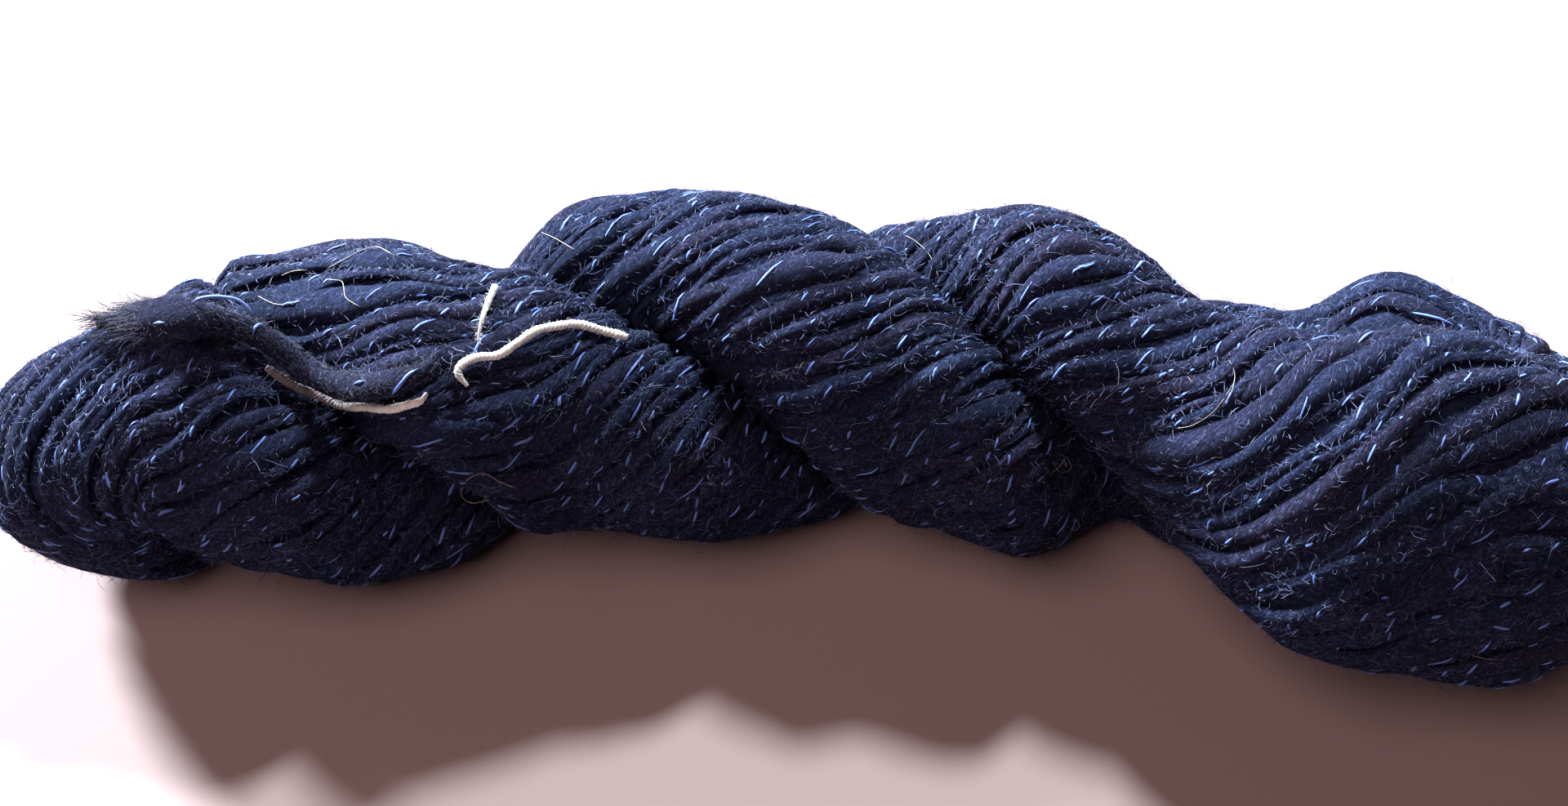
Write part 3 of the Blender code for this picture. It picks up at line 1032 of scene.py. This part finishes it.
def cotton_radius(gone, length):
    """The cotton string's radius: nearly even, with a taper where it goes in and to its cut end."""
    uneven = 0.05 * np.sin(gone * 0.9) + 0.04 * np.sin(gone * 2.3 + 1)
    going_in = 0.58 * np.clip(1 - gone / 4.0, 0, 1)
    return 0.92 + uneven - going_in - 0.30 * np.clip((gone - length + 1.2) / 1.2, 0, 1)


def band_radius(gone, length):
    """The tie's band, pulled thinner to where it sinks into the wool."""
    return 0.84 - 0.56 * gone / length


TIE_SPIN = dict(twist=2.1, lobes=3, lobe_depth=0.24, step=0.25, sides=18)


def make_tie(finish):
    """The cotton tie: a band over the ply's neck and two free ends. Gives the rings of all three."""

    # The right end, which lies in the light: painted shade only where it comes out of the wool.
    def lit_cotton(gone, length):
        return 0.55 * np.clip(1 - gone / 6.0, 0, 1)

    # The left end: painted shadow over its far half, and painted shade where it comes out of the wool.
    def shaded(gone, length):
        shadowed_half = np.clip((gone - 0.45 * length) / (0.1 * length), 0, 0.92)
        return shadowed_half + 0.4 * np.clip(1 - gone / 3.0, 0, 1)

    # The band: painted shade where it sinks into the wool.
    def sinking(gone, length):
        return np.clip((gone - 0.45 * length) / (0.4 * length), 0, 0.85)

    made = []
    for name, tone_at in (("tie_end_right", lit_cotton), ("tie_end_left", shaded)):
        piece, path, length, rings = string(name, finish, cotton_radius, tone_at, **TIE_SPIN)
        made.append(rings)
        tuple(path[0] * MM)
        length * MM
        path * MM
    band, _, _, rings = string("tie_band", finish, band_radius, sinking, **TIE_SPIN)
    return [*made, rings]


# How thick the loose end is, from where it leaves the skein to its tip: share of its length, radius.
LOOSE_THICKNESS = (
    (0.0, 1.6), (0.05, 2.2), (0.10, 2.6), (0.22, 2.8), (0.35, 2.8), (0.47, 2.8), (0.56, 2.6),
    (0.615, 2.5), (0.67, 4.1), (0.73, 5.1), (0.79, 5.0), (0.85, 4.1), (0.91, 3.1), (0.96, 2.0),
    (1.0, 0.5),
)


def loose_radius(gone, length):
    places, radii = np.array(LOOSE_THICKNESS).T
    fine = np.interp(gone / length, places, radii)
    return np.convolve(np.pad(fine, 3, "edge"), np.ones(7) / 7, "valid") * (1 + 0.03 * np.sin(gone * 1.7))


def make_loose_end(finish):
    """The yarn's own end, with a soft slub near its tip. Gives the piece and its rings."""

    def even(gone, length):
        return 0.6 + 0 * gone

    spin = dict(twist=0.22, lobes=2, lobe_depth=0.10, step=1.2, sides=20)
    piece, path, length, rings = string("loose_end", finish, loose_radius, even, **spin)
    tuple(path[0] * MM)
    length * MM
    path * MM
    return piece, rings


FRAYED_FROM = 0.80  # share of the loose end's length
FRAY_FIBRES, FRAY_JOINTS = 700, 6
FRAY_OUT, FRAY_STRAY = 0.22, 0.16  # how the fibres fan away from the tip's own way
FRAY_SHORTEST, FRAY_MORE = 3.0, 7.0


def frayed_tip(rings):
    """A group of fibres that draw out of the loose end's tip and fan apart."""
    count, joints = FRAY_FIBRES, FRAY_JOINTS
    last = len(rings["centre"]) - 2
    ring = last * (FRAYED_FROM + (1 - FRAYED_FROM) * rng.random(count) ** 0.8)
    angle = 2 * math.pi * rng.random(count)
    root, out = on_strand(rings, ring, angle, -0.4 * rng.random(count))
    way = unit(rings["flow"][ring.astype(int)] + FRAY_OUT * out + FRAY_STRAY * rng.normal(size=(count, 3)))
    size = FRAY_SHORTEST + FRAY_MORE * rng.random(count)
    hanging = np.array((0.0, 0.0, -0.03))
    bend = 0.10 * rng.normal(size=(count, 3)) + hanging
    paths = [root]
    for _ in range(joints - 1):
        paths.append(paths[-1] + way * (size / (joints - 1))[:, None])
        way = unit(way + bend)
    radius = FUZZ_RADIUS * (0.7 + 0.4 * rng.random(count))
    return np.stack(paths, 1), radius, rng.random(count)


# ---------------------------------------------------------------- what shows at given places

# Pale hairs, by the pixels of the picture that each one passes.
PALE_HAIRS = (
    ((284, 352), (301, 356), (317, 363), (333, 371), (346, 373), (359, 371), (368, 368)),
    ((339, 345), (346, 337), (359, 332), (375, 331), (390, 336), (403, 342), (418, 344), (421, 353),
     (424, 365), (441, 376)),
    ((400, 329), (422, 317), (441, 307), (461, 302), (476, 309), (483, 313)),
    ((600, 612), (578, 616), (565, 606), (572, 588), (592, 580), (612, 590), (632, 598)),
    ((1108, 288), (1122, 296), (1138, 312), (1150, 340)),
    ((1440, 525), (1462, 520), (1488, 502), (1512, 468)),
    ((1505, 440), (1512, 458), (1508, 480), (1498, 496)),
    ((1290, 566), (1298, 578), (1312, 574), (1306, 560), (1296, 556)),
    ((1304, 640), (1314, 650), (1322, 644), (1316, 634)),
    ((662, 284), (680, 292), (704, 306)),
    ((1148, 636), (1144, 628), (1150, 622)),
)

# The thread where it shows on the loose end and near it, in the same way.
LOOSE_THREAD = (
    ((233, 371), (246, 365), (262, 363), (278, 364), (291, 367), (302, 375), (310, 386)),
    ((309, 411), (312, 402), (317, 397), (323, 395)),
    ((187, 396), (194, 395), (202, 395)),
    ((431, 471), (439, 468), (448, 466)),
    ((479, 484), (489, 472), (500, 459), (512, 451)),
)


LINE_STEP, LINE_SIDES = 0.9, 5
LINE_TAPER = 4  # a line's ends are pointed over this many times its radius
FIRST_DEPTH = CAMERA_DISTANCE - 30  # about where the skein's upper side is


def cast(tree, pixel, before):
    """The point that shows at a pixel, or as deep as the one before it where the ray misses."""
    way = Vector(ray_through(pixel))
    hit = tree.ray_cast(Vector(EYE) * MM, way.normalized())[0]
    if hit is None:
        return EYE + np.array(way) * before, before
    point = np.array(hit) / MM
    depth = float((point - EYE) @ -TO_CAMERA)
    return EYE + np.array(way) * depth, depth


def laid(tree, pixels, proud):
    """A smooth path through pixels, lying a little proud of what shows there."""
    points, depth = [], FIRST_DEPTH
    for pixel in pixels:
        point, depth = cast(tree, pixel, depth)
        points.append(point)
    depths = (np.array(points) - EYE) @ -TO_CAMERA
    eased_depths = np.convolve(np.pad(depths, 1, "edge"), (0.25, 0.5, 0.25), "valid")
    depths = np.minimum(depths, eased_depths) - proud
    rays = np.array([ray_through(pixel) for pixel in pixels])
    return smooth_path(EYE + rays * depths[:, None], LINE_STEP)


def surface_of(pieces):
    """The pieces' surface, for finding what shows at a pixel."""
    points, faces = [], []
    for piece in pieces:
        first = len(points)
        points += [point.co for point in piece.data.vertices]
        faces += [[first + corner for corner in face.vertices] for face in piece.data.polygons]
    return BVHTree.FromPolygons(points, faces)


def lines_on(pieces, routes, name, finish, radius, proud):
    """Thin round lines laid over what shows of some pieces at pixels, as one piece."""
    tree = surface_of(pieces)
    tones = rng.random(len(routes))
    turn = np.arange(LINE_SIDES) * 2 * math.pi / LINE_SIDES
    points, tone, lay, joined = [], [], [], []
    for route, shade in zip(routes, tones):
        path, gone = laid(tree, route, proud)
        _, side, up = carried_frame(path, TO_CAMERA)
        taper = np.clip(np.minimum(gone, gone[-1] - gone) / (LINE_TAPER * radius), 0.15, 1)
        sink = (1 - taper) * proud * 1.2
        around = np.cos(turn)[None, :, None] * side[:, None] + np.sin(turn)[None, :, None] * up[:, None]
        path = path - sink[:, None] * TO_CAMERA
        points.append((path[:, None] + (radius * taper)[:, None, None] * around).reshape(-1, 3))
        along_and_round = np.broadcast_arrays(gone[:, None], np.cos(turn), np.sin(turn))
        lay.append(np.stack(along_and_round, -1).reshape(-1, 3))
        tone.append(np.full(len(path) * LINE_SIDES, shade))
        joined.append(np.arange(len(path)) < len(path) - 1)
    joined = np.concatenate(joined)
    faces = tube_faces(len(joined), LINE_SIDES, joined)
    return new_piece(name, np.concatenate(points), faces, finish, np.concatenate(lay), np.concatenate(tone))


# ---------------------------------------------------------------- the room

# Two windows behind the skein and the ceiling's glow: the way that each one's light falls, its distance
# and width in metres, its power and its colour.
LIGHTS = (
    ("right_window", (-0.12, -0.90, -1.0), 2.4, 0.28, 150.0, (0.86, 0.965, 1.0)),
    ("left_window", (1.75, -1.80, -1.0), 2.4, 0.45, 540.0, (0.80, 0.93, 1.0)),
    ("ceiling", (0.45, 0.35, -1.0), 1.8, 1.5, 18.0, (1.0, 0.73, 0.73)),
)


def make_room():
    """A pale table, two windows behind it, and a weak warm light from above and all round."""
    bpy.ops.mesh.primitive_plane_add(size=6)
    table = bpy.context.object
    table.name = "table"
    table.data.materials.append(floor_finish())
    for name, fall, distance, width, power, colour in LIGHTS:
        light = bpy.data.lights.new(name, "AREA")
        light.shape = "DISK"
        light.size = width
        light.energy = power
        light.color = colour
        lamp = bpy.data.objects.new(name, light)
        lamp.location = -Vector(fall).normalized() * distance
        lamp.rotation_euler = Vector(fall).to_track_quat("-Z", "Y").to_euler()
        bpy.context.scene.collection.objects.link(lamp)

    world = bpy.data.worlds.new("room")
    bpy.context.scene.world = world
    world.use_nodes = True
    sky = world.node_tree.nodes["Background"]
    sky.inputs["Color"].default_value = (1.0, 0.80, 0.80, 1)
    sky.inputs["Strength"].default_value = 0.010
    bpy.context.scene.view_settings.view_transform = "Standard"


# ---------------------------------------------------------------- the whole skein

# The fuzz, from the short nap to the long curls: how many fibres, joints in each, shortest and longest,
# how steeply they stand, and how far they spread from the strand's outermost line.
NAP_PIECES = 3
NAP = dict(count=28500, joints=3, shortest=1.6, longest=4.4, lift=0.32, spread=1.4)
CURLS = dict(count=4200, joints=6, shortest=4.0, longest=8.5, lift=0.45, spread=1.2)
END_NAP = dict(count=2600, joints=3, shortest=1.6, longest=4.0, lift=0.45, spread=2.4)
COTTON_NAP = dict(count=120, joints=3, shortest=0.8, longest=1.8, lift=0.9, spread=2.6)

make_camera()
wool = wool_finish("wool", NAVY_DUSTY, PLUM_DUSTY)
cotton = cotton_finish()
thread = thread_finish()
fuzz_look = fuzz_finish("wool_fuzz", FUZZ_TONES)
end_fuzz_look = fuzz_finish("end_fuzz", END_FUZZ_TONES)
loose_end, loose_rings = make_loose_end(wool_finish("wool_end", GREY_DUSTY, GREY_DUSTY))
tie_rings = make_tie(cotton)

wound = wound_strand()
strands = make_strands(wound, wool)
for piece in strands:
    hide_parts("skein")
make_core(core_finish())
thread_dashes(wound, thread)
for k in range(NAP_PIECES):
    needles(f"wool_fuzz_{k + 1}", [fuzz(wound, **NAP)], fuzz_look)
needles("curly_fibres", [fuzz(wound, **CURLS)], fuzz_look)
end_fibres = [fuzz(loose_rings, **END_NAP), frayed_tip(loose_rings)]
needles("loose_end_fuzz", end_fibres, end_fuzz_look)
cotton_hairs = [fuzz(rings, **COTTON_NAP) for rings in tie_rings]
needles("cotton_hairs", cotton_hairs, cotton)

loose_thread = lines_on([loose_end], LOOSE_THREAD, "loose_thread", thread, radius=0.42, proud=0.45)
wool_pieces = [*strands, loose_end]
pale_hairs = lines_on(wool_pieces, PALE_HAIRS, "pale_hairs", hair_finish(), radius=0.085, proud=0.40)
make_room()
